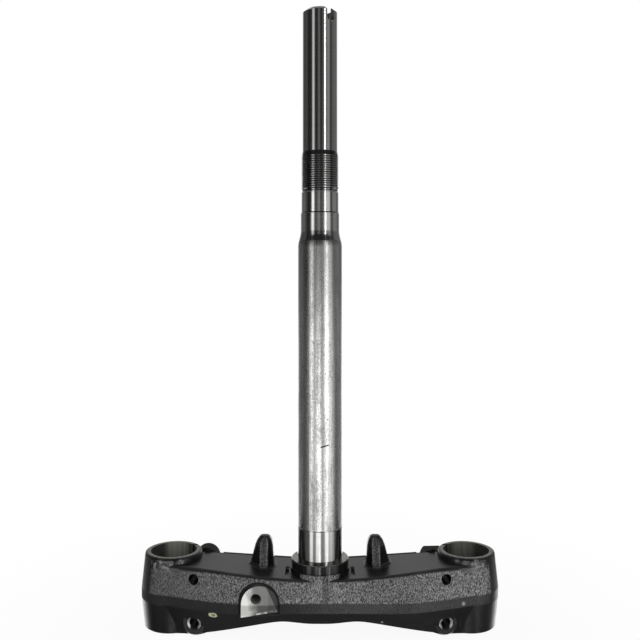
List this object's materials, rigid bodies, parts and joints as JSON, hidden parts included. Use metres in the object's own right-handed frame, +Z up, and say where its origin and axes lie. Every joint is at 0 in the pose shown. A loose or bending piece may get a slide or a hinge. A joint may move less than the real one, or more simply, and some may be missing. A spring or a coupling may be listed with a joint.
{
  "type": "lower fork yoke with steering stem",
  "caption": "Black forged lower fork yoke with split fork clamps, steering stop fins and a machined lug, on a long stepped and threaded steel steering stem.",
  "frame": {"origin": "on the stem axis at the lower bearing shoulder, the machined top face of the collar", "axes": "+Z up along the stem, +X to the right fork clamp as the picture shows it, +Y to the slits at the back"},
  "size_m": [0.244, 0.0605, 0.4184],
  "materials": {
    "yoke": "satin black over a forged skin",
    "stem": "ground seats over a drawn tube"
  },
  "bodies": {
    "root": {"lower_yoke": "yoke", "steering_stem": "stem"}
  },
  "joints": []
}
